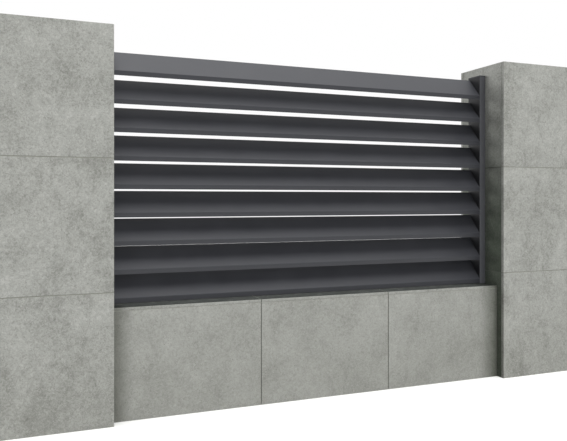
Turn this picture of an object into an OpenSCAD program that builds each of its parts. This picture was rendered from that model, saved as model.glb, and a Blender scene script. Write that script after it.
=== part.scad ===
// Aluminium slat fence: one bay between two slab-clad pillars, on a slab-clad low wall.
//
// X runs along the fence, -Y is the street side and Z is up. The origin is at ground
// level, in the middle of the bay and of the pillars' depth. All sizes are in mm.

/* [Bay] */
// Clear width between the two pillars
bay_w = 2160; // [1200:20:3000]

/* [Pillars] */
// Height of a pillar above the ground
pillar_h = 1800; // [1300:20:2400]
// Width of a pillar along the fence
pillar_w = 600; // [300:10:900]
// Depth of a pillar through the fence
pillar_d = 390; // [320:10:600]
// Courses of slabs up a pillar
pillar_courses = 3; // [2:1:5]

/* [Low wall] */
// Height of the low wall, with its coping
wall_h = 522; // [300:6:700]
// How far each face of the low wall stands back from the pillars
wall_recess = 55; // [20:5:80]
// Slabs side by side along the low wall
wall_slabs = 3; // [1:1:6]

/* [Cladding] */
// Thickness of the cladding slabs and of the slab in a pillar's top
slab_t = 20; // [12:1:30]
// Thickness of the low wall's coping slabs
coping_t = 14; // [12:1:30]
// Joint between two slabs of the same face
joint = 4; // [2:1:8]
// Joint where two faces of slabs meet
corner_joint = 2; // [1:1:5]

/* [Posts] */
// Width of the left post along the fence
left_post_w = 20; // [16:1:80]
// Width of the right post along the fence
right_post_w = 40; // [16:1:80]
// Depth of both posts through the fence
post_d = 106; // [104:1:120]
// Wall thickness of a post
post_wall = 3; // [2:0.5:5]
// From the pillars' front face back to the posts' front face
post_setback = 160; // [80:5:180]
// From the top of a pillar down to the top of a post cap
post_drop = 55; // [20:5:150]

/* [Post caps] */
// Thickness of a cap's cover plate
cap_t = 5; // [3:1:10]
// Depth of the plug under the cover plate
plug_h = 20; // [10:1:40]
// Thickness of the plug's wall
plug_wall = 2.5; // [1.5:0.5:4]
// Clearance between the plug and the inside of the post
plug_clearance = 0.3; // [0.1:0.1:1]

/* [Slats] */
// Height of one slat, from the bottom of its lip to its back edge
slat_h = 127.5; // [80:0.5:160]
// Depth of one slat through the fence
slat_d = 100; // [60:1:100]
// Sheet thickness of a slat
slat_t = 2.5; // [1.5:0.5:4]
// Height of the upright front lip, below the bend
lip_h = 21; // [12:1:35]
// Height of the fold that hangs from a slat's back edge
return_h = 14; // [8:1:25]
// Outer radius of a slat's bends
bend_r = 4.5; // [4.5:0.5:7]
// Smallest gap between one slat and the next
least_gap = 6.5; // [5:0.5:40]
// Gap between the coping and the lowest slat
bottom_gap = 5; // [5:1:40]
// From the top of a post cap down to the top slat
top_gap = 15; // [5:1:60]

/* [Hidden] */

LEFT = -1;
RIGHT = 1;

// Length of one of n equal slabs that fill a run, with a joint between each two
function slab_length(run, n) = (run - (n - 1) * joint) / n;

pillar_front = -pillar_d / 2;
core_w = pillar_w - 2 * slab_t;
core_d = pillar_d - 2 * slab_t;
course_h = slab_length(pillar_h, pillar_courses);
// The side and cap slabs fit between the front and back slabs, inside the corner joints
side_slab_w = core_d - 2 * corner_joint;
cap_slab_w = core_w - 2 * corner_joint;

wall_d = pillar_d - 2 * wall_recess;
wall_slab_h = wall_h - coping_t - corner_joint;
wall_slab_w = slab_length(bay_w, wall_slabs);

post_front = pillar_front + post_setback;
post_top = pillar_h - post_drop - cap_t;
post_h = post_top - wall_h;

slat_length = bay_w - left_post_w - right_post_w;
slats_bottom = wall_h + bottom_gap;
slats_rise = pillar_h - post_drop - top_gap - slats_bottom;
// As many slats as fit with the least gap, spread evenly over the whole rise
slat_count = floor((slats_rise + least_gap) / (slat_h + least_gap));
slat_pitch = (slats_rise - slat_h) / (slat_count - 1);

// Centres of a slat's two bends in its section, as [depth, height], and the slope between
front_bend = [bend_r, lip_h];
back_bend = [slat_d - bend_r, slat_h - bend_r];
slope = atan2(back_bend.y - front_bend.y, back_bend.x - front_bend.x);
bend_steps = 12;

concrete_core = "#77756e";
slab_grey = "#a3a49d";
coping_grey = "#abaca5";
anthracite = "#4b4c51";
cap_black = "#3a3b3f";

// Draws its children on one side of the bay: they are written for the right-hand one
module on_side(side) {
    mirror([side == LEFT ? 1 : 0, 0, 0]) children();
}

// A stack of equal slabs up a pillar, w along X and d along Y
module slab_courses(w, d) {
    for (i = [0 : pillar_courses - 1])
        translate([0, 0, i * (course_h + joint)]) cube([w, d, course_h]);
}

// A row of equal slabs along the low wall, d along Y and h high
module slab_row(d, h) {
    for (i = [0 : wall_slabs - 1])
        translate([i * (wall_slab_w + joint) - bay_w / 2, 0, 0]) cube([wall_slab_w, d, h]);
}

// The masonry inside a pillar
module pillar_core(side) {
    color(concrete_core) on_side(side)
        translate([bay_w / 2 + slab_t, pillar_front + slab_t, 0])
            cube([core_w, core_d, pillar_h - slab_t]);
}

module pillar_front_slabs(side) {
    color(slab_grey) on_side(side)
        translate([bay_w / 2, pillar_front, 0]) slab_courses(pillar_w, slab_t);
}

module pillar_back_slabs(side) {
    color(slab_grey) on_side(side)
        translate([bay_w / 2, -pillar_front - slab_t, 0]) slab_courses(pillar_w, slab_t);
}

// The slabs on the side of a pillar that the post and the low wall stand against
module pillar_inner_slabs(side) {
    color(slab_grey) on_side(side)
        translate([bay_w / 2, -side_slab_w / 2, 0]) slab_courses(slab_t, side_slab_w);
}

module pillar_outer_slabs(side) {
    color(slab_grey) on_side(side)
        translate([bay_w / 2 + pillar_w - slab_t, -side_slab_w / 2, 0])
            slab_courses(slab_t, side_slab_w);
}

// The slab let into the top of a pillar, flush with the slabs around it
module pillar_cap(side) {
    color(coping_grey) on_side(side)
        translate([bay_w / 2 + slab_t + corner_joint, -side_slab_w / 2, pillar_h - slab_t])
            cube([cap_slab_w, side_slab_w, slab_t]);
}

// The masonry inside the low wall, from pillar to pillar
module low_wall_core() {
    color(concrete_core)
        translate([-bay_w / 2, slab_t - wall_d / 2, 0])
            cube([bay_w, wall_d - 2 * slab_t, wall_h - coping_t]);
}

module low_wall_front_slabs() {
    color(slab_grey)
        translate([0, -wall_d / 2, 0]) slab_row(slab_t, wall_slab_h);
}

module low_wall_back_slabs() {
    color(slab_grey)
        translate([0, wall_d / 2 - slab_t, 0]) slab_row(slab_t, wall_slab_h);
}

// The slabs that cover the low wall, flush with its two faces
module low_wall_coping() {
    color(coping_grey)
        translate([0, -wall_d / 2, wall_h - coping_t]) slab_row(wall_d, coping_t);
}

// A rectangular tube, closed at neither end, with its corner at the origin
module tube(w, d, h, wall) {
    difference() {
        cube([w, d, h]);
        translate([wall, wall, -1]) cube([w - 2 * wall, d - 2 * wall, h + 2]);
    }
}

function post_w(side) = side == LEFT ? left_post_w : right_post_w;

// A post stands on the coping, against the inner side of its pillar
module post(side) {
    color(anthracite) on_side(side)
        translate([bay_w / 2 - post_w(side), post_front, wall_h])
            tube(post_w(side), post_d, post_h, post_wall);
}

// A cover plate on the post's rim, with a plug that reaches down inside the tube
module post_cap(side) {
    plug_inset = post_wall + plug_clearance;
    color(cap_black) on_side(side)
        translate([bay_w / 2 - post_w(side), post_front, post_top]) {
            cube([post_w(side), post_d, cap_t]);
            translate([plug_inset, plug_inset, -plug_h])
                tube(post_w(side) - 2 * plug_inset, post_d - 2 * plug_inset, plug_h, plug_wall);
        }
}

// Points of an arc about a centre, from one angle to another
function arc(centre, r, from, to) = [
    for (i = [0 : bend_steps])
        let (a = from + (to - from) * i / bend_steps)
            centre + r * [cos(a), sin(a)]
];

// One skin of the slat's sheet over its two bends: the outer one at r = bend_r and the
// inner one a sheet thickness less
function slat_skin(r) = concat(
    arc(front_bend, r, 180, 90 + slope),
    arc(back_bend, r, 90 + slope, 0)
);

function reversed(points) = [for (i = [len(points) - 1 : -1 : 0]) points[i]];

// The slat's section: an upright lip, a face that leans back, and a fold that hangs down
module slat_section() {
    inner_r = bend_r - slat_t;
    polygon(concat(
        [[0, 0]], slat_skin(bend_r), [[slat_d, slat_h - return_h]],
        [[slat_d - slat_t, slat_h - return_h]], reversed(slat_skin(inner_r)), [[slat_t, 0]]
    ));
}

// The slats run from post to post, their lips flush with the posts' front
module slat_panel() {
    color(anthracite)
        for (i = [0 : slat_count - 1])
            translate([left_post_w - bay_w / 2, post_front, slats_bottom + i * slat_pitch])
                rotate([90, 0, 90]) linear_extrude(slat_length) slat_section();
}

pillar_core(LEFT);  // left_pillar_core
pillar_front_slabs(LEFT);  // left_pillar_front_slabs
pillar_back_slabs(LEFT);  // left_pillar_back_slabs
pillar_inner_slabs(LEFT);  // left_pillar_inner_slabs
pillar_outer_slabs(LEFT);  // left_pillar_outer_slabs
pillar_cap(LEFT);  // left_pillar_cap
pillar_core(RIGHT);  // right_pillar_core
pillar_front_slabs(RIGHT);  // right_pillar_front_slabs
pillar_back_slabs(RIGHT);  // right_pillar_back_slabs
pillar_inner_slabs(RIGHT);  // right_pillar_inner_slabs
pillar_outer_slabs(RIGHT);  // right_pillar_outer_slabs
pillar_cap(RIGHT);  // right_pillar_cap
low_wall_core();
low_wall_front_slabs();
low_wall_back_slabs();
low_wall_coping();
post(LEFT);  // left_post
post_cap(LEFT);  // left_post_cap
post(RIGHT);  // right_post
post_cap(RIGHT);  // right_post_cap
slat_panel();
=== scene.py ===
# %% [markdown]
# # One bay of an aluminium slat fence
# The real fence has two masonry pillars clad with large concrete-look slabs, a low wall
# between them, and a panel of bent aluminium slats held between two slim posts.
# The measured model is loaded first and is never moved. It has the right sizes but plain
# faces, so this script gives each piece its edges, joints and finish, and then lights it.

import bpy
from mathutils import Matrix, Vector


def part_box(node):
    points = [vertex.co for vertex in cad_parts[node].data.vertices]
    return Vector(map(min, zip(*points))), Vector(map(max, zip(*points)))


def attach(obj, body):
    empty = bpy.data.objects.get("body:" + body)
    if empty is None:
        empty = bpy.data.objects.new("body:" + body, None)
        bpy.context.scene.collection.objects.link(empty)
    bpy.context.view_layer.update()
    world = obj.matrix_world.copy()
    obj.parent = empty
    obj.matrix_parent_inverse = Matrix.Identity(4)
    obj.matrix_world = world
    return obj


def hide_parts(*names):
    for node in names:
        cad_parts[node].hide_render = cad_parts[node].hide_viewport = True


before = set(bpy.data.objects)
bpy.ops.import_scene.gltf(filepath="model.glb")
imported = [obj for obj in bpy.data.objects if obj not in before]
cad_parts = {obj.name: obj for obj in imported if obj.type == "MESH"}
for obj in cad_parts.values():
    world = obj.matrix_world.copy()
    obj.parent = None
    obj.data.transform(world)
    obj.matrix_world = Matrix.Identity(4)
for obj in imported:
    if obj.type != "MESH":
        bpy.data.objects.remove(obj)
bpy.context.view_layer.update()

# %% Modules
import math
from collections import namedtuple

import bmesh
import bpy
from mathutils import Vector

# %% [markdown]
# ## Sizes
# Places and overall sizes are read from the measured nodes. Only what their boxes can't
# tell is written here: how the slats' sheet is bent, and how far a joint lies back. The low
# wall's joints are raked out 2.5 mm deep, and all others are struck off nearly flush.

# %% Sizes, in metres
MM = 0.001
SLAT_HEIGHT = 127.5 * MM
SLAT_COUNT = 9
SHEET = 2.5 * MM
LIP_HEIGHT = 21 * MM
FOLD_HEIGHT = 14 * MM
BEND_RADIUS = 4.5 * MM
RAKED_RECESS = 2.5 * MM
FLUSH_RECESS = 0.8 * MM
# Corners of the measured model that lie nearer than this are one corner
MERGE_WITHIN = 0.01 * MM

bay_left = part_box("left_pillar_inner_slabs")[1].x
bay_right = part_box("right_pillar_inner_slabs")[0].x
pillar_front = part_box("left_pillar_front_slabs")[0].y
panel_low, panel_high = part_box("slat_panel")
bay_width = bay_right - bay_left
panel_height = panel_high.z - panel_low.z
print("clear bay:", round(bay_width, 3), "m; panel:", round(panel_height, 3), "m high")

# %% [markdown]
# ## Helpers
# A colour is written as its usual hex value, and one function turns it into the linear
# numbers that Blender works with. One function adds a node to any tree, shader or geometry,
# with its settings and what its sockets hold: a plain value, or another node's output. A
# colour ramp's two stops are settings too.

# %% Colours and nodes
def colour(hex_value):
    """Linear RGBA of an sRGB colour such as #A3A49D."""
    channels = [int(hex_value[i:i + 2], 16) / 255 for i in (1, 3, 5)]
    linear = [c / 12.92 if c <= 0.04045 else ((c + 0.055) / 1.055) ** 2.4 for c in channels]
    return (*linear, 1.0)


def add(tree, kind, sockets=None, stops=(), **settings):
    """Adds a node. sockets maps a socket's name or number to a value or an output."""
    node = tree.nodes.new(kind)
    for name, value in settings.items():
        setattr(node, name, value)
    for number, (position, tone) in enumerate(stops):
        node.color_ramp.elements[number].position = position
        node.color_ramp.elements[number].color = tone
    for key, value in (sockets or {}).items():
        if isinstance(value, bpy.types.NodeSocket):
            tree.links.new(value, node.inputs[key])
        else:
            node.inputs[key].default_value = value
    return node


def new_material(name):
    """An empty material with its node tree."""
    material = bpy.data.materials.new(name)
    material.use_nodes = True
    material.node_tree.nodes.clear()
    return material, material.node_tree


# A Mix node has a pair of sockets for each kind of value, and these are its colour ones
MIX_FIRST, MIX_SECOND, MIXED = 6, 7, 2


def blend_values(tree, parts):
    """The sum of outputs times their weights, from a list of (output, weight)."""
    total = 0.0
    for output, weight in parts:
        total = add(tree, "ShaderNodeMath", {0: output, 1: weight, 2: total},
                    operation="MULTIPLY_ADD").outputs[0]
    return total


# %% [markdown]
# Every modifier is turned into a plain mesh before a piece joins the frame. The evaluated
# object is copied out as a mesh, and the modifiers are cleared. Smooth shading with face-area
# weighting keeps a large flat face flat while the narrow rounded edge beside it shades round.

# %% Plain meshes
# Two faces that meet at more degrees than this have a sharp edge between them
SHARP_ANGLE = 40
# The weighting runs from 1 to 100, and at 100 the largest face decides how a corner shades
LARGEST_FACE_DECIDES = 100


def link(name, mesh):
    """A new object at the origin that shows mesh."""
    piece = bpy.data.objects.new(name, mesh)
    bpy.context.scene.collection.objects.link(piece)
    return piece


def bake_modifiers(piece):
    """Replaces a piece's mesh by what its modifiers make of it."""
    bpy.context.view_layer.update()
    graph = bpy.context.evaluated_depsgraph_get()
    made = bpy.data.meshes.new_from_object(piece.evaluated_get(graph), depsgraph=graph)
    made.name = piece.name
    piece.modifiers.clear()
    piece.data = made
    return piece


def shade_by_area(piece, sharp_angle=SHARP_ANGLE):
    """Rounds the shading of narrow faces and keeps wide ones flat."""
    piece.data.shade_smooth()
    piece.data.set_sharp_from_angle(angle=math.radians(sharp_angle))
    weighted = piece.modifiers.new("area weights", "WEIGHTED_NORMAL")
    weighted.keep_sharp = True
    weighted.weight = LARGEST_FACE_DECIDES
    return bake_modifiers(piece)


def join_frame(piece, slot, *nodes):
    """The finished piece rides on the fence and stands for the named measured nodes."""
    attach(piece, "root")
    if nodes:
        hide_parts(*nodes)
    print(f"{piece.name}: {len(piece.data.polygons)} faces")


# %% [markdown]
# ## Finish: concrete-look slab
# The real slabs are pressed and honed to look like cast concrete: a grey that is slightly
# green, with soft clouds, mottling of a few centimetres, fine grit, and small open pores.
# It could be one noise, but one noise reads as fog. Noises of 20 cm, 4 cm and 1 cm, each
# with its own share, and sparse pores cut from a cell pattern, read as concrete from near
# and far. Darker smudges, a hand wide and longer upright, cross them where water ran down.
# Each slab came out of the press with a pattern of its own, so the pattern is moved by a
# value that each slab carries.
#
# Shade is painted on as thin films. A film darkens what it lies on without hiding it, so
# its tone multiplies the slab's. Painted shade darkens the foot of every slab where the ground
# shades it, the low wall in the corners beside the pillars, and, tinted green, the pillars'
# inner sides below the top of the panel. The coping's top has painted shade, and a painted
# shadow under the slats. Each film grows from 0 to 1 along one axis, between places that are
# taken from the measured boxes, and the mottling makes it patchy.

# %% Films of painted shade
# A film reads one axis of the place or of the normal. It begins at one value there and is
# full at another, and its strength is how much of its tone it then has.
Film = namedtuple("Film", "reads axis begins full strength tone")

# Painted shade that darkens the slabs towards the ground
foot_shade = Film("place", "Z", begins=0.62, full=0.02, strength=0.20, tone="#B6B6AC")
# Painted shade on the low wall beside the left pillar, in the corner that the pillar shades
left_corner_shade = Film("place", "X", begins=bay_left + 0.11, full=bay_left, strength=0.72, tone="#868780")
# Stronger painted shade beside the right pillar, whose shadow falls over a hand's width of the low wall
right_corner_shade = Film("place", "X", begins=bay_right - 0.15, full=bay_right, strength=0.85,
                  tone="#82867D")
# Painted shade on what faces up
top_face_shade = Film("normal", "Z", begins=0.35, full=0.75, strength=0.95, tone="#4A4F4F")
# Painted shadow on the coping under the slats and behind them
under_panel_shadow = Film("place", "Y", begins=panel_low.y - 4 * MM, full=panel_low.y + 4 * MM,
                  strength=0.80, tone="#454545")
# Painted shade, tinted green, that starts just above the panel and is full near the panel's foot
side_damp = Film("place", "Z", begins=panel_high.z + 0.04, full=0.75, strength=0.95,
                 tone="#7B8679")
# How strongly the mottling breaks a film up
PATCHINESS = 0.7


def patchy(tree, mask, noise):
    """The mask raised where the noise is above one half, and lowered where it is below."""
    swing = add(tree, "ShaderNodeMath", {0: noise, 1: 0.5}, operation="SUBTRACT").outputs[0]
    push = add(tree, "ShaderNodeMath", {0: mask, 1: swing}, operation="MULTIPLY").outputs[0]
    return add(tree, "ShaderNodeMath", {0: push, 1: PATCHINESS, 2: mask}, operation="MULTIPLY_ADD",
               use_clamp=True).outputs[0]


print("painted side shade: from", round(side_damp.begins, 3), "m down to", side_damp.full, "m")

# %% [markdown]
# A noise's scale is how many of its features fit in a metre. Real grit and pores are about
# a millimetre wide, too fine to show from three metres away, so both are drawn coarser.
# Honed concrete is matt with a faint sheen, so its refractive index is set a little under
# that of most stone. The eye sees the coping at a grazing angle, where any surface shines
# most, yet it hardly does, as it lies in shade. Its index, 1.25, stands in for that shade on
# the sheen, and is lower than that of any real stone.

# %% Slab material
CLOUDS_PER_METRE = 5.0        # 200 mm wide
SMUDGES_PER_METRE = 11.0      # 91 mm wide
UPRIGHT = 0.55                # and 91 / 0.55 = 165 mm long
MOTTLES_PER_METRE = 26.0      # 38 mm wide
GRAINS_PER_METRE = 95.0       # 10.5 mm wide, with finer ones down to 1.3 mm
PORE_CELLS_PER_METRE = 90.0   # cells of 11 mm, at most one pore in each
PORE_RIM = 0.26               # of a cell from its middle, so 6 mm wide at the rim
PORE_FLOOR = 0.12             # and 3 mm wide at the floor
DRY_SLAB_IOR = 1.45
SHADED_COPING_IOR = 1.25


def slab_material(name, dark, light, *films, ior=DRY_SLAB_IOR):
    """Honed concrete-look slab between two tones, darkened by films of painted shade."""
    material, tree = new_material(name)
    at = add(tree, "ShaderNodeTexCoord").outputs
    place = add(tree, "ShaderNodeSeparateXYZ", {0: at["Object"]}).outputs
    normal = add(tree, "ShaderNodeSeparateXYZ", {0: at["Normal"]}).outputs
    shift = add(tree, "ShaderNodeAttribute", attribute_name="slab_shift").outputs["Vector"]
    own = add(tree, "ShaderNodeVectorMath", {0: at["Object"], 1: shift}, operation="ADD").outputs[0]

    clouds = add(tree, "ShaderNodeTexNoise",
                 {"Vector": own, "Scale": CLOUDS_PER_METRE, "Detail": 3.0, "Roughness": 0.5}
                 ).outputs["Fac"]
    mottling = add(tree, "ShaderNodeTexNoise",
                   {"Vector": own, "Scale": MOTTLES_PER_METRE, "Detail": 4.0, "Roughness": 0.65,
                    "Distortion": 0.6}).outputs["Fac"]
    grit = add(tree, "ShaderNodeTexNoise",
               {"Vector": own, "Scale": GRAINS_PER_METRE, "Detail": 3.0, "Roughness": 0.9,
                "Distortion": 1.0}).outputs["Fac"]
    drawn_out = add(tree, "ShaderNodeMapping",
                    {"Vector": own, "Scale": (1.0, 1.0, UPRIGHT)}).outputs["Vector"]
    smudges = add(tree, "ShaderNodeTexNoise",
                  {"Vector": drawn_out, "Scale": SMUDGES_PER_METRE, "Detail": 5.0,
                   "Roughness": 0.62, "Distortion": 0.8}).outputs["Fac"]
    smudge = add(tree, "ShaderNodeMapRange", {"Value": smudges, "From Min": 0.50, "From Max": 0.70},
                 interpolation_type="SMOOTHSTEP").outputs["Result"]
    tone = blend_values(tree, [(clouds, 0.22), (mottling, 0.23), (grit, 0.55), (smudge, -0.055)])
    body = add(tree, "ShaderNodeValToRGB", {"Fac": tone},
               stops=[(0.355, colour(dark)), (0.635, colour(light))]).outputs["Color"]

    # Pores are open only in the lighter mottles, so that they come in patches
    cells = add(tree, "ShaderNodeTexVoronoi",
                {"Vector": own, "Scale": PORE_CELLS_PER_METRE}).outputs["Distance"]
    round_pore = add(tree, "ShaderNodeMapRange",
                     {"Value": cells, "From Min": PORE_RIM, "From Max": PORE_FLOOR},
                     interpolation_type="SMOOTHSTEP").outputs["Result"]
    patch = add(tree, "ShaderNodeMapRange", {"Value": mottling, "From Min": 0.48, "From Max": 0.60},
                interpolation_type="SMOOTHSTEP").outputs["Result"]
    pore = add(tree, "ShaderNodeMath", {0: round_pore, 1: patch}, operation="MULTIPLY").outputs[0]
    pore_share = add(tree, "ShaderNodeMath", {0: pore, 1: 0.5}, operation="MULTIPLY").outputs[0]
    surface = add(tree, "ShaderNodeMix",
                  {"Factor": pore_share, MIX_FIRST: body, MIX_SECOND: colour("#6F7069")},
                  data_type="RGBA").outputs[MIXED]
    # Each film multiplies its painted shade into the surface
    for film in films:
        reads = {"place": place, "normal": normal}[film.reads]
        mask = add(tree, "ShaderNodeMapRange",
                   {"Value": reads[film.axis], "From Min": film.begins, "From Max": film.full},
                   interpolation_type="SMOOTHSTEP").outputs["Result"]
        share = add(tree, "ShaderNodeMath", {0: patchy(tree, mask, mottling), 1: film.strength},
                    operation="MULTIPLY").outputs[0]
        surface = add(tree, "ShaderNodeMix",
                      {"Factor": share, MIX_FIRST: surface, MIX_SECOND: colour(film.tone)},
                      data_type="RGBA", blend_type="MULTIPLY").outputs[MIXED]

    relief = blend_values(tree, [(grit, 0.5), (mottling, 0.3), (pore, -0.8)])
    bump = add(tree, "ShaderNodeBump", {"Height": relief, "Strength": 0.5, "Distance": 0.8 * MM})
    rough = add(tree, "ShaderNodeMapRange",
                {"Value": mottling, "From Min": 0.3, "From Max": 0.7, "To Min": 0.68, "To Max": 0.82}
                ).outputs["Result"]
    shader = add(tree, "ShaderNodeBsdfPrincipled",
                 {"Base Color": surface, "Roughness": rough, "IOR": ior,
                  "Normal": bump.outputs["Normal"]})
    add(tree, "ShaderNodeOutputMaterial", {"Surface": shader.outputs["BSDF"]})
    return material


# The low wall's slabs are more even than the pillars'
PILLAR_TONES = ("#80817B", "#BEBFBA")
WALL_TONES = ("#8B8C86", "#B6B7B2")
# Painted shade: all slabs but the tops darken towards the ground, and the low wall beside the pillars
pillar_slab = slab_material("Honed concrete-look slab, pillars", *PILLAR_TONES, foot_shade)
# The inner sides carry painted shade from just above the panel down
inner_slab = slab_material("Honed concrete-look slab, damp inner sides", *PILLAR_TONES,
                           foot_shade, side_damp)
wall_slab = slab_material("Honed concrete-look slab, low wall", *WALL_TONES,
                          foot_shade, left_corner_shade, right_corner_shade)
# The coping carries painted shade on its top and a painted shadow under the slats
coping_slab = slab_material("Honed concrete-look slab, damp coping", *WALL_TONES,
                            left_corner_shade, right_corner_shade, top_face_shade, under_panel_shadow, ior=SHADED_COPING_IOR)
cap_slab = slab_material("Honed concrete-look slab, pillar tops", *PILLAR_TONES)
print("5 slab materials, the low wall's with", len(wall_slab.node_tree.nodes), "nodes")

# %% [markdown]
# ## Finish: mortar and masonry
# The joints are filled with cement mortar, sandy and matt. The low wall's are raked back,
# and they look darkest because they hold dirt and shade. The others are struck nearly flush
# with a fine mortar close to the slabs' own grey, and a copy of that mortar is painted darker
# as shade on the inner sides and the coping. The cast masonry behind it all hardly shows.
# Sand is drawn from 2.4 mm down to its real 0.3 mm, and damp changes it in patches a hand wide.

# %% Mortar material
SAND_PER_METRE = 420.0
DAMP_PATCHES_PER_METRE = 9.0


def mortar_material(name, dark, light):
    """Sandy cement mortar between two tones."""
    material, tree = new_material(name)
    place = add(tree, "ShaderNodeTexCoord").outputs["Object"]
    sand = add(tree, "ShaderNodeTexNoise",
               {"Vector": place, "Scale": SAND_PER_METRE, "Detail": 3.0, "Roughness": 0.7}
               ).outputs["Fac"]
    damp = add(tree, "ShaderNodeTexNoise",
               {"Vector": place, "Scale": DAMP_PATCHES_PER_METRE, "Detail": 2.0}).outputs["Fac"]
    tone = blend_values(tree, [(sand, 0.6), (damp, 0.4)])
    body = add(tree, "ShaderNodeValToRGB", {"Fac": tone},
               stops=[(0.35, colour(dark)), (0.65, colour(light))]).outputs["Color"]
    bump = add(tree, "ShaderNodeBump", {"Height": sand, "Strength": 0.6, "Distance": 0.8 * MM})
    shader = add(tree, "ShaderNodeBsdfPrincipled",
                 {"Base Color": body, "Roughness": 0.92, "Normal": bump.outputs["Normal"]})
    add(tree, "ShaderNodeOutputMaterial", {"Surface": shader.outputs["BSDF"]})
    return material


raked_mortar = mortar_material("Raked cement mortar", "#50514C", "#6C6D66")
fine_mortar = mortar_material("Flush fine mortar", "#82837B", "#9B9C93")
# Painted shade: the fine mortar darker and greener, for the joints of the inner sides and the coping
shaded_mortar = mortar_material("Flush fine mortar, damp inner sides", "#525650", "#686C63")
masonry = mortar_material("Cast masonry", "#66665F", "#83837B")
print("3 mortars and the masonry, each with", len(masonry.node_tree.nodes), "nodes")

# %% [markdown]
# ## Finish: powder-coated aluminium
# The slats and posts are bent and extruded aluminium with a baked powder coat in graphite
# grey. The coat hides the metal, so it isn't metallic. It has a low sheen, and the powder
# flows out as it bakes into a fine orange peel about a millimetre across. The colour drifts
# faintly over a hand or two, as dust does. The posts' coat is written lighter than the
# slats': a post stands against the dark side of a pillar and mirrors it, and one shared
# tone would leave it too dark. Its face towards the slats is painted nearly black as
# shade.

# %% Powder coat material
ORANGE_PEEL = 1.2 * MM
DRIFTS_PER_METRE = 7.0


def powder_coat_material(name, deep, full, bay_face_shade=0.0):
    """Baked powder coat between two tones, with that much painted shade on faces towards the bay."""
    material, tree = new_material(name)
    at = add(tree, "ShaderNodeTexCoord").outputs
    place = at["Object"]
    peel = add(tree, "ShaderNodeTexNoise",
               {"Vector": place, "Scale": 1 / ORANGE_PEEL, "Detail": 2.0, "Roughness": 0.5}
               ).outputs["Fac"]
    drift = add(tree, "ShaderNodeTexNoise",
                {"Vector": place, "Scale": DRIFTS_PER_METRE, "Detail": 3.0, "Roughness": 0.55}
                ).outputs["Fac"]
    tone = blend_values(tree, [(peel, 0.35), (drift, 0.65)])
    body = add(tree, "ShaderNodeValToRGB", {"Fac": tone},
               stops=[(0.35, colour(deep)), (0.65, colour(full))]).outputs["Color"]
    if bay_face_shade:
        # A face looks towards the bay where its normal points against its own side of it
        normal_x = add(tree, "ShaderNodeSeparateXYZ", {0: at["Normal"]}).outputs["X"]
        place_x = add(tree, "ShaderNodeSeparateXYZ", {0: place}).outputs["X"]
        side = add(tree, "ShaderNodeMath", {0: place_x}, operation="SIGN").outputs[0]
        outward = add(tree, "ShaderNodeMath", {0: normal_x, 1: side}, operation="MULTIPLY").outputs[0]
        # Painted shade: faces towards the bay are darkened nearly to black
        bay_shade = add(tree, "ShaderNodeMapRange",
                   {"Value": outward, "From Min": -0.5, "From Max": -0.9, "To Max": bay_face_shade},
                   interpolation_type="SMOOTHSTEP").outputs["Result"]
        body = add(tree, "ShaderNodeMix",
                   {"Factor": bay_shade, MIX_FIRST: body, MIX_SECOND: colour("#151517")},
                   data_type="RGBA").outputs[MIXED]
    bump = add(tree, "ShaderNodeBump", {"Height": peel, "Strength": 0.12, "Distance": 0.1 * MM})
    rough = add(tree, "ShaderNodeMapRange",
                {"Value": drift, "From Min": 0.3, "From Max": 0.7, "To Min": 0.44, "To Max": 0.52}
                ).outputs["Result"]
    shader = add(tree, "ShaderNodeBsdfPrincipled",
                 {"Base Color": body, "Roughness": rough, "IOR": 1.45,
                  "Normal": bump.outputs["Normal"]})
    add(tree, "ShaderNodeOutputMaterial", {"Surface": shader.outputs["BSDF"]})
    return material


slat_coat = powder_coat_material("Powder-coated aluminium, bent slats", "#2E2F33", "#343539")
# The posts carry painted shade on their faces towards the bay
post_coat = powder_coat_material("Powder-coated aluminium, extruded posts", "#505155", "#57585C",
                                 bay_face_shade=0.95)
print("2 powder coats, the posts' with", len(post_coat.node_tree.nodes), "nodes")

# %% [markdown]
# ## Finish: moulded cap plastic
# The post caps are injection-moulded nylon in the colour of the coat. A spark-eroded mould
# leaves a fine matt grain, a little rougher than the coat beside it. The real grain is
# about 0.1 mm, and it is drawn at 0.7 mm, because a finer one wouldn't show.

# %% Cap material
GRAIN_PER_METRE = 1400.0


def cap_material(name, deep, full):
    """Moulded nylon with an eroded grain, between two tones."""
    material, tree = new_material(name)
    place = add(tree, "ShaderNodeTexCoord").outputs["Object"]
    grain = add(tree, "ShaderNodeTexNoise",
                {"Vector": place, "Scale": GRAIN_PER_METRE, "Detail": 2.0}).outputs["Fac"]
    body = add(tree, "ShaderNodeValToRGB", {"Fac": grain},
               stops=[(0.35, colour(deep)), (0.65, colour(full))]).outputs["Color"]
    bump = add(tree, "ShaderNodeBump", {"Height": grain, "Strength": 0.3, "Distance": 0.1 * MM})
    shader = add(tree, "ShaderNodeBsdfPrincipled",
                 {"Base Color": body, "Roughness": 0.58, "IOR": 1.53,
                  "Normal": bump.outputs["Normal"]})
    add(tree, "ShaderNodeOutputMaterial", {"Surface": shader.outputs["BSDF"]})
    return material


cap_plastic = cap_material("Moulded nylon, eroded grain", "#303135", "#37383C")
print("cap plastic with", len(cap_plastic.node_tree.nodes), "nodes")

# %% [markdown]
# ## Slabs with eased edges
# A sawn slab has its sharp edge taken off with an abrasive block, about a millimetre wide,
# and that edge catches the light along every joint. The measured slabs have the right sizes,
# so a copy of each is cleaned into plain quads and given a small bevel, and it stays inside
# the measured outline.

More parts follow.
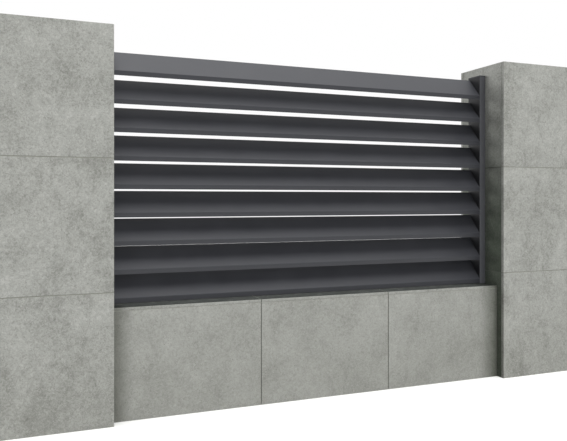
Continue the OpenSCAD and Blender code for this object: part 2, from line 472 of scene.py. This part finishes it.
# %% Copies with eased edges
def clean_copy(node, name):
    """A copy of a measured node as whole flat faces instead of loose triangles."""
    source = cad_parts[node].data
    mesh = bpy.data.meshes.new(name)
    mesh.from_pydata([v.co for v in source.vertices], [], [p.vertices for p in source.polygons])
    work = bmesh.new()
    work.from_mesh(mesh)
    bmesh.ops.remove_doubles(work, verts=work.verts, dist=MERGE_WITHIN)
    bmesh.ops.dissolve_limit(work, angle_limit=math.radians(1), verts=work.verts, edges=work.edges)
    work.to_mesh(mesh)
    work.free()
    return link(name, mesh)


def ease_edges(piece, width, segments=2):
    """Bevels every sharp edge by width."""
    bevel = piece.modifiers.new("eased edges", "BEVEL")
    bevel.width = width
    bevel.segments = segments
    bevel.limit_method = "ANGLE"
    bevel.angle_limit = math.radians(SHARP_ANGLE)
    bevel.use_clamp_overlap = True
    return bake_modifiers(piece)


# %% [markdown]
# The slabs of one face are one mesh of separate islands. A small geometry tree gives every
# island a random shift from a fixed seed, stored as an attribute that the slab finish reads.
# A shift of up to 40 m each way means that no two slabs show the same stretch of pattern.

# %% A pattern of its own for each slab
PATTERN_REACH = 40.0


def new_tree(name, sockets):
    """A geometry tree with named inputs, from a list of (name, kind, default)."""
    tree = bpy.data.node_groups.new(name, "GeometryNodeTree")
    tree.interface.new_socket("Geometry", in_out="INPUT", socket_type="NodeSocketGeometry")
    for label, kind, default in sockets:
        socket = tree.interface.new_socket(label, in_out="INPUT", socket_type="NodeSocket" + kind)
        if default is not None:
            socket.default_value = default
    tree.interface.new_socket("Geometry", in_out="OUTPUT", socket_type="NodeSocketGeometry")
    return tree, add(tree, "NodeGroupInput").outputs


def run_tree(piece, tree, **values):
    """Runs a tree on a piece with its inputs set, and keeps the result as a plain mesh."""
    modifier = piece.modifiers.new(tree.name, "NODES")
    modifier.node_group = tree
    for item in tree.interface.items_tree:
        key = item.name.replace(" ", "_").lower()
        if item.in_out == "INPUT" and key in values:
            modifier[item.identifier] = values[key]
    return bake_modifiers(piece)


def slab_shift_tree():
    """Stores a random shift for each separate slab of a mesh."""
    tree, given = new_tree("Pattern shift per slab", [("Seed", "Int", 1)])
    island = add(tree, "GeometryNodeInputMeshIsland").outputs["Island Index"]
    shift = add(tree, "FunctionNodeRandomValue",
                {"ID": island, "Seed": given["Seed"], "Min": (-PATTERN_REACH,) * 3,
                 "Max": (PATTERN_REACH,) * 3}, data_type="FLOAT_VECTOR")
    stored = add(tree, "GeometryNodeStoreNamedAttribute",
                 {"Geometry": given["Geometry"], "Name": "slab_shift", "Value": shift.outputs["Value"]},
                 data_type="FLOAT_VECTOR", domain="POINT")
    add(tree, "NodeGroupOutput", {"Geometry": stored.outputs["Geometry"]})
    return tree


shift_tree = slab_shift_tree()
print("shift tree with", len(shift_tree.nodes), "nodes")

# %% [markdown]
# Each measured node of slabs gets one eased copy that stands for it. Its finish follows from
# the face it covers: the low wall, a pillar's side towards the bay, or any other side. The
# slabs on top come last, with painted shade on the coping only.

# %% Make the slabs
ARRIS = 1.2 * MM
FIRST_TOP_SEED = 20


def make_slabs(node, name, slot, finish, seed):
    """Eased and finished slabs that stand for a measured node of slabs."""
    piece = ease_edges(clean_copy(node, name), ARRIS)
    run_tree(piece, shift_tree, seed=seed)
    piece.data.materials.clear()
    piece.data.materials.append(finish)
    join_frame(shade_by_area(piece), slot, node)


slab_nodes = sorted(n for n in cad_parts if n.endswith("_slabs"))
for seed, node in enumerate(slab_nodes, start=1):
    finish = wall_slab if "wall" in node else inner_slab if "inner" in node else pillar_slab
    make_slabs(node, node.replace("_slabs", "_cladding"), "cladding_slab", finish, seed)
tops = (("left_pillar_cap", cap_slab), ("right_pillar_cap", cap_slab),
        ("low_wall_coping", coping_slab))
for seed, (node, finish) in enumerate(tops, start=FIRST_TOP_SEED):
    make_slabs(node, node + "_slab", "coping_slab", finish, seed)

# %% [markdown]
# ## Mortar joints
# The gaps between the slabs are found from the slabs' own boxes, so no joint is placed by
# hand. Each gap is noted as a block between two corners, in the list of its mortar: raked,
# flush, or flush with painted shade. A joint lies back from the slabs' face by its recess.

# %% Find the gaps
def islands(node):
    """The boxes of a node's separate solids, as (low, high)."""
    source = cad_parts[node].data
    work = bmesh.new()
    work.from_mesh(source)
    bmesh.ops.remove_doubles(work, verts=work.verts, dist=MERGE_WITHIN)
    boxes, seen = [], set()
    for start in work.verts:
        if start.index in seen:
            continue
        group, queue = [], [start]
        seen.add(start.index)
        while queue:
            vertex = queue.pop()
            group.append(vertex.co.copy())
            for edge in vertex.link_edges:
                other = edge.other_vert(vertex)
                if other.index not in seen:
                    seen.add(other.index)
                    queue.append(other)
        low = Vector([min(c[i] for c in group) for i in range(3)])
        high = Vector([max(c[i] for c in group) for i in range(3)])
        boxes.append((low, high))
    work.free()
    return boxes


raked_joints, flush_joints, damp_joints = [], [], []


def fill(joints, low, high):
    """Notes a block of mortar between its lowest and its highest corner."""
    joints.append((Vector(low), Vector(high)))


def fill_between(joints, node, axis, inward, recess):
    """Fills the gaps between a node's slabs along an axis, set back from their face.

    inward is the direction from the face into the masonry, as (axis number, sign)."""
    boxes = sorted(islands(node), key=lambda box: box[0][axis])
    depth, sign = inward
    for (low_a, high_a), (low_b, high_b) in zip(boxes, boxes[1:]):
        low, high = low_a.copy(), high_a.copy()
        low[axis], high[axis] = high_a[axis], low_b[axis]
        if sign > 0:
            low[depth] += recess
        else:
            high[depth] -= recess
        fill(joints, low, high)


X, Y, Z = 0, 1, 2
for side, outward in (("left", -1), ("right", 1)):
    fill_between(flush_joints, side + "_pillar_front_slabs", Z, (Y, 1), FLUSH_RECESS)
    fill_between(flush_joints, side + "_pillar_back_slabs", Z, (Y, -1), FLUSH_RECESS)
    fill_between(damp_joints, side + "_pillar_inner_slabs", Z, (X, outward), FLUSH_RECESS)
    fill_between(flush_joints, side + "_pillar_outer_slabs", Z, (X, -outward), FLUSH_RECESS)
fill_between(raked_joints, "low_wall_front_slabs", X, (Y, 1), RAKED_RECESS)
fill_between(raked_joints, "low_wall_back_slabs", X, (Y, -1), RAKED_RECESS)
fill_between(damp_joints, "low_wall_coping", X, (Z, -1), FLUSH_RECESS)
print(len(raked_joints + flush_joints + damp_joints), "joints between slabs of one face")

# %% [markdown]
# Where two faces meet at a pillar's corner, and around the slab let into its top, narrower
# joints run the whole height or length. The same goes for the line under the coping.

# %% Joints where faces meet
def corner_joints(side):
    """The upright joints at a pillar's four corners, and the ring round its top slab."""
    core_low, core_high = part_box(side + "_pillar_core")
    cap_low, cap_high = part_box(side + "_pillar_cap")
    for face in ("inner", "outer"):
        low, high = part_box(f"{side}_pillar_{face}_slabs")
        towards_left = low.x < core_low.x
        x0 = low.x + (FLUSH_RECESS if towards_left else 0)
        x1 = high.x - (0 if towards_left else FLUSH_RECESS)
        joints = damp_joints if face == "inner" else flush_joints
        fill(joints, (x0, core_low.y, low.z), (x1, low.y, high.z - FLUSH_RECESS))
        fill(joints, (x0, high.y, low.z), (x1, core_high.y, high.z - FLUSH_RECESS))
    ring_top = cap_high.z - FLUSH_RECESS
    fill(flush_joints, (core_low.x, core_low.y, cap_low.z), (core_high.x, cap_low.y, ring_top))
    fill(flush_joints, (core_low.x, cap_high.y, cap_low.z), (core_high.x, core_high.y, ring_top))
    fill(flush_joints, (core_low.x, cap_low.y, cap_low.z), (cap_low.x, cap_high.y, ring_top))
    fill(flush_joints, (cap_high.x, cap_low.y, cap_low.z), (core_high.x, cap_high.y, ring_top))


corner_joints("left")
corner_joints("right")
for face, sign in (("front", 1), ("back", -1)):
    low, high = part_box(f"low_wall_{face}_slabs")
    under_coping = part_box("low_wall_coping")[0].z
    y0 = low.y + (FLUSH_RECESS if sign > 0 else 0)
    y1 = high.y - (FLUSH_RECESS if sign < 0 else 0)
    fill(flush_joints, (low.x, y0, high.z), (high.x, y1, under_coping))
print(len(raked_joints + flush_joints + damp_joints), "joints in all")

# %% [markdown]
# A joint's middle becomes a point that carries the joint's size. One geometry tree puts a
# block on every point and stretches it to that size, so one mesh holds all joints of one
# mortar.

# %% One block per joint
def joint_tree():
    """Puts a block on every point, stretched to the point's own size."""
    tree, given = new_tree("Mortar blocks", [("Material", "Material", None)])
    block = add(tree, "GeometryNodeMeshCube", {"Size": (1.0, 1.0, 1.0)}).outputs["Mesh"]
    size = add(tree, "GeometryNodeInputNamedAttribute", {"Name": "size"}, data_type="FLOAT_VECTOR")
    placed = add(tree, "GeometryNodeInstanceOnPoints",
                 {"Points": given["Geometry"], "Instance": block, "Scale": size.outputs["Attribute"]})
    real = add(tree, "GeometryNodeRealizeInstances", {"Geometry": placed.outputs["Instances"]})
    done = add(tree, "GeometryNodeSetMaterial",
               {"Geometry": real.outputs["Geometry"], "Material": given["Material"]})
    add(tree, "NodeGroupOutput", {"Geometry": done.outputs["Geometry"]})
    return tree


mortar_tree = joint_tree()
for name, joints, finish in (("raked_joints", raked_joints, raked_mortar),
                             ("flush_joints", flush_joints, fine_mortar),
                             ("damp_joints", damp_joints, shaded_mortar)):
    points = bpy.data.meshes.new(name)
    points.from_pydata([(low + high) / 2 for low, high in joints], [], [])
    sizes = points.attributes.new("size", "FLOAT_VECTOR", "POINT")
    sizes.data.foreach_set("vector", [length for low, high in joints for length in high - low])
    join_frame(run_tree(link(name, points), mortar_tree, material=finish), "masonry")

# %% [markdown]
# ## Slats
# A slat is one strip of sheet bent twice: an upright lip at the front, a face that leans
# back, and a short fold that hangs from its back edge and stiffens it. Bends in sheet are
# round, and they catch the light as a soft line along the whole slat. Its section is a line
# of four points whose two middle ones get rounded, and their places follow from the
# slat's height, its depth and the bend's radius: a rounded corner reaches as far from its
# point as the radius times the tangent of half the turn.

# %% The section's four points
slat_depth = panel_high.y - panel_low.y
slope = math.atan2(SLAT_HEIGHT - BEND_RADIUS - LIP_HEIGHT, slat_depth - 2 * BEND_RADIUS)
front_turn = math.pi / 2 - slope
back_turn = math.pi / 2 + slope
front_corner_z = LIP_HEIGHT + BEND_RADIUS * math.tan(front_turn / 2)
back_corner_z = SLAT_HEIGHT - BEND_RADIUS + BEND_RADIUS * math.tan(back_turn / 2)
slat_pitch = (panel_height - SLAT_HEIGHT) / (SLAT_COUNT - 1)
print("slope:", round(math.degrees(slope), 1), "degrees; pitch:", round(slat_pitch / MM, 1), "mm")

# %% [markdown]
# The tree puts the four points in their places, rounds the corners, pulls the line along
# the fence into a skin, and thickens the skin inwards. The slat is then repeated up the
# panel at its pitch.

# %% Slat tree
# The section's points, from the lip's lower edge to the fold's
SECTION = ("Corner", "Lip", "Brow", "Fold")


def slat_tree():
    """Bends, thickens and repeats the slat."""
    tree, given = new_tree("Bent slats", [
        ("Corner", "Vector", None), ("Lip", "Vector", None), ("Brow", "Vector", None),
        ("Fold", "Vector", None), ("Bend radius", "Float", None), ("Bend steps", "Int", None),
        ("Length", "Float", None), ("Sheet", "Float", None), ("Count", "Int", None),
        ("Pitch", "Float", None), ("Material", "Material", None)])
    index = add(tree, "GeometryNodeInputIndex").outputs[0]
    line = add(tree, "GeometryNodeMeshLine", {"Count": len(SECTION)}).outputs["Mesh"]
    curve = add(tree, "GeometryNodeMeshToCurve", {"Mesh": line}).outputs["Curve"]
    corner_of = add(tree, "GeometryNodeIndexSwitch", data_type="VECTOR")
    while len(corner_of.index_switch_items) < len(SECTION):
        corner_of.index_switch_items.new()
    tree.links.new(index, corner_of.inputs["Index"])
    for number, label in enumerate(SECTION, start=1):
        tree.links.new(given[label], corner_of.inputs[number])
    section = add(tree, "GeometryNodeSetPosition",
                  {"Geometry": curve, "Position": corner_of.outputs[0]}).outputs["Geometry"]
    rounded = add(tree, "GeometryNodeFilletCurve",
                  {"Curve": section, "Radius": given["Bend radius"], "Count": given["Bend steps"],
                   "Limit Radius": False}, mode="POLY").outputs["Curve"]
    outline = add(tree, "GeometryNodeCurveToMesh", {"Curve": rounded}).outputs["Mesh"]
    along = add(tree, "ShaderNodeCombineXYZ", {"X": given["Length"]}).outputs["Vector"]
    skin = add(tree, "GeometryNodeExtrudeMesh", {"Mesh": outline, "Offset": along}, mode="EDGES")
    inwards = add(tree, "ShaderNodeMath", {0: given["Sheet"], 1: -1.0}, operation="MULTIPLY")
    thick = add(tree, "GeometryNodeExtrudeMesh",
                {"Mesh": skin.outputs["Mesh"], "Offset Scale": inwards.outputs[0], "Individual": False},
                mode="FACES")
    turned = add(tree, "GeometryNodeFlipFaces", {"Mesh": thick.outputs["Mesh"]}).outputs["Mesh"]
    both = add(tree, "GeometryNodeJoinGeometry")
    for part in (skin.outputs["Mesh"], turned):
        tree.links.new(part, both.inputs["Geometry"])
    slat = add(tree, "GeometryNodeMergeByDistance",
               {"Geometry": both.outputs["Geometry"], "Distance": MERGE_WITHIN}).outputs["Geometry"]
    step = add(tree, "ShaderNodeCombineXYZ", {"Z": given["Pitch"]}).outputs["Vector"]
    places = add(tree, "GeometryNodeMeshLine", {"Count": given["Count"], "Offset": step}).outputs["Mesh"]
    repeated = add(tree, "GeometryNodeInstanceOnPoints", {"Points": places, "Instance": slat})
    real = add(tree, "GeometryNodeRealizeInstances", {"Geometry": repeated.outputs["Instances"]})
    done = add(tree, "GeometryNodeSetMaterial",
               {"Geometry": real.outputs["Geometry"], "Material": given["Material"]})
    add(tree, "NodeGroupOutput", {"Geometry": done.outputs["Geometry"]})
    return tree


# %% [markdown]
# The tree's inputs are set by name here, and its result replaces an empty mesh. The slats
# are one piece, as they are one node of the measured model.

# %% Make the slats
BEND_STEPS = 10
# A bend turns by less than this at each step, and a cut edge of the sheet by 90 degrees
SLAT_SHARP_ANGLE = 60


def section_point(depth, height):
    """A point of the lowest slat's section, at the left post."""
    return (panel_low.x, panel_low.y + depth, panel_low.z + height)


slats = run_tree(
    link("slats", bpy.data.meshes.new("slats")), slat_tree(),
    corner=section_point(0, 0), lip=section_point(0, front_corner_z),
    brow=section_point(slat_depth, back_corner_z),
    fold=section_point(slat_depth, SLAT_HEIGHT - FOLD_HEIGHT),
    bend_radius=BEND_RADIUS, bend_steps=BEND_STEPS, length=panel_high.x - panel_low.x,
    sheet=SHEET, count=SLAT_COUNT, pitch=slat_pitch, material=slat_coat)
join_frame(shade_by_area(slats, SLAT_SHARP_ANGLE), "coated_aluminium", "slat_panel")

# %% [markdown]
# ## Posts and caps
# A post is an extruded rectangular tube, whose die leaves corners of about a millimetre and
# a half. Its cap is a moulded cover with a finer edge, pushed into the tube. Both are eased
# copies of the measured pieces. The masonry cores keep their measured meshes and only get
# their finish, because they show nowhere but deep in the joints.

# %% Make the posts and caps
POST_CORNER = 1.4 * MM
COVER_EDGE = 0.8 * MM

for side in ("left", "right"):
    for node, name, radius, finish, slot in (
            (side + "_post", side + "_post_tube", POST_CORNER, post_coat, "coated_aluminium"),
            (side + "_post_cap", side + "_post_cover", COVER_EDGE, cap_plastic, "cap_plastic")):
        piece = ease_edges(clean_copy(node, name), radius, segments=3)
        piece.data.materials.clear()
        piece.data.materials.append(finish)
        join_frame(shade_by_area(piece), slot, node)

for node in ("left_pillar_core", "right_pillar_core", "low_wall_core"):
    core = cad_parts[node]
    core.data.materials.clear()
    core.data.materials.append(masonry)
    print(f"{core.name}: {masonry.name.lower()}")

# %% [markdown]
# ## Floor, world and light
# The fence stands on a plain pale floor in front of a white background. What the eye sees of
# them, straight or in a reflection, is pale. The light that they throw on the fence is much
# weaker, so that the lamps shape it, and one switch on the kind of ray tells these apart.

# %% Floor
FLOOR_SIZE = 60.0


def seen_directly(tree):
    """1 for what the eye, a gloss or a glass shows, and 0 for diffuse light."""
    path = add(tree, "ShaderNodeLightPath").outputs
    gloss = add(tree, "ShaderNodeMath", {0: path["Is Camera Ray"], 1: path["Is Glossy Ray"]},
                operation="MAXIMUM").outputs[0]
    return add(tree, "ShaderNodeMath", {0: gloss, 1: path["Is Transmission Ray"]},
               operation="MAXIMUM").outputs[0]


def floor_material():
    """Pale to the eye, and duller to the light that it throws back on the wall."""
    material, tree = new_material("Pale studio floor")
    tone = add(tree, "ShaderNodeMix",
               {"Factor": seen_directly(tree), MIX_FIRST: colour("#4A4A49"),
                MIX_SECOND: colour("#F4F4F2")}, data_type="RGBA").outputs[MIXED]
    shader = add(tree, "ShaderNodeBsdfPrincipled",
                 {"Base Color": tone, "Roughness": 0.9, "Specular IOR Level": 0.0})
    add(tree, "ShaderNodeOutputMaterial", {"Surface": shader.outputs["BSDF"]})
    return material


half = FLOOR_SIZE / 2
floor_mesh = bpy.data.meshes.new("floor")
floor_mesh.from_pydata([(-half, -half, 0), (half, -half, 0), (half, half, 0), (-half, half, 0)],
                       [], [(0, 1, 2, 3)])
floor = link("floor", floor_mesh)
floor.data.materials.append(floor_material())
print("floor:", FLOOR_SIZE, "m square")

# %% [markdown]
# The world has two backgrounds and the same switch between them: plain white, and a dim sky
# whose upper half is brighter, so that faces that look up are a little lighter.

# %% World
SKY_STRENGTH = 0.16
# The sky starts to brighten here, a little under the horizon, and is brightest at 1, overhead
SKY_FOOT = -0.05


def white_world():
    """White to the eye, and for the light a dim sky that is brighter overhead."""
    world = bpy.data.worlds.new("White studio")
    world.use_nodes = True
    tree = world.node_tree
    tree.nodes.clear()
    direction = add(tree, "ShaderNodeTexCoord").outputs["Generated"]
    height = add(tree, "ShaderNodeSeparateXYZ", {0: direction}).outputs["Z"]
    rise = add(tree, "ShaderNodeMapRange", {"Value": height, "From Min": SKY_FOOT, "From Max": 1.0})
    sky = add(tree, "ShaderNodeValToRGB", {"Fac": rise.outputs["Result"]},
              stops=[(0.0, colour("#707070")), (1.0, colour("#FFFFFF"))]).outputs["Color"]
    light = add(tree, "ShaderNodeBackground", {"Color": sky, "Strength": SKY_STRENGTH})
    plain = add(tree, "ShaderNodeBackground", {"Color": colour("#FFFFFF"), "Strength": 1.0})
    both = add(tree, "ShaderNodeMixShader",
               {0: seen_directly(tree), 1: light.outputs[0], 2: plain.outputs[0]})
    add(tree, "ShaderNodeOutputWorld", {"Surface": both.outputs[0]})
    bpy.context.scene.world = world


white_world()
print("world:", bpy.context.scene.world.name)

# %% [markdown]
# The lamps are large softboxes far away, so each is a sun with a wide disc. Two in front
# light the wall and the slats' faces, and the low one lights them most. One overhead picks
# out the coping and the upper faces, and only this one shows as a sheen. The others light
# the sides and the back, so that the fence reads from every side.

# %% Lamps
def sun(name, bearing, height, strength, spread, in_gloss=False):
    """A soft distant lamp. bearing is measured from straight in front towards the right."""
    data = bpy.data.lights.new(name, "SUN")
    data.energy = strength
    data.angle = math.radians(spread)
    lamp = bpy.data.objects.new(name, data)
    lamp.visible_glossy = in_gloss
    bpy.context.scene.collection.objects.link(lamp)
    turn = math.radians(bearing)
    rise = math.radians(height)
    towards = Vector((math.sin(turn) * math.cos(rise), -math.cos(turn) * math.cos(rise),
                      math.sin(rise)))
    lamp.rotation_euler = towards.to_track_quat("Z", "Y").to_euler()
    print(f"{name}: {strength} from {bearing} degrees round and {height} up")


sun("front softbox", bearing=10, height=10, strength=2.05, spread=40)
sun("upper front softbox", bearing=0, height=62, strength=1.35, spread=34)
sun("overhead softbox", bearing=0, height=82, strength=1.5, spread=60, in_gloss=True)
sun("left upper softbox", bearing=-110, height=72, strength=1.35, spread=30)
sun("left back softbox", bearing=-135, height=15, strength=1.6, spread=30)
sun("back softbox", bearing=180, height=14, strength=1.8, spread=30)
sun("right softbox", bearing=90, height=20, strength=1.4, spread=30)

# %% [markdown]
# ## Camera
# The eye stands three metres in front of the pillars, a little left of the bay, and one
# metre up. It looks level and to the right, so upright edges stay upright, and the lens is
# shifted down instead of tilting the camera.

# %% Camera
EYE_TO_FRONT = 3.037
EYE_LEFT_OF_BAY = 0.398
EYE_HEIGHT = 1.017
LOOKS_RIGHT = 21.77
# A camera looks straight down until it is turned up by this many degrees
LEVEL = 90
SENSOR_MM = 36.0
LENS_MM = 42.18
LENS_SHIFT_DOWN = 0.0375

camera_data = bpy.data.cameras.new("camera")
camera_data.sensor_width = SENSOR_MM
camera_data.lens = LENS_MM
camera_data.shift_y = -LENS_SHIFT_DOWN
camera = bpy.data.objects.new("camera", camera_data)
bpy.context.scene.collection.objects.link(camera)
camera.location = (bay_left - EYE_LEFT_OF_BAY, pillar_front - EYE_TO_FRONT, EYE_HEIGHT)
camera.rotation_euler = (math.radians(LEVEL), 0, math.radians(-LOOKS_RIGHT))
bpy.context.scene.camera = camera
bpy.context.scene.view_settings.view_transform = "Standard"
print("eye, in metres:", [round(v, 3) for v in camera.location])
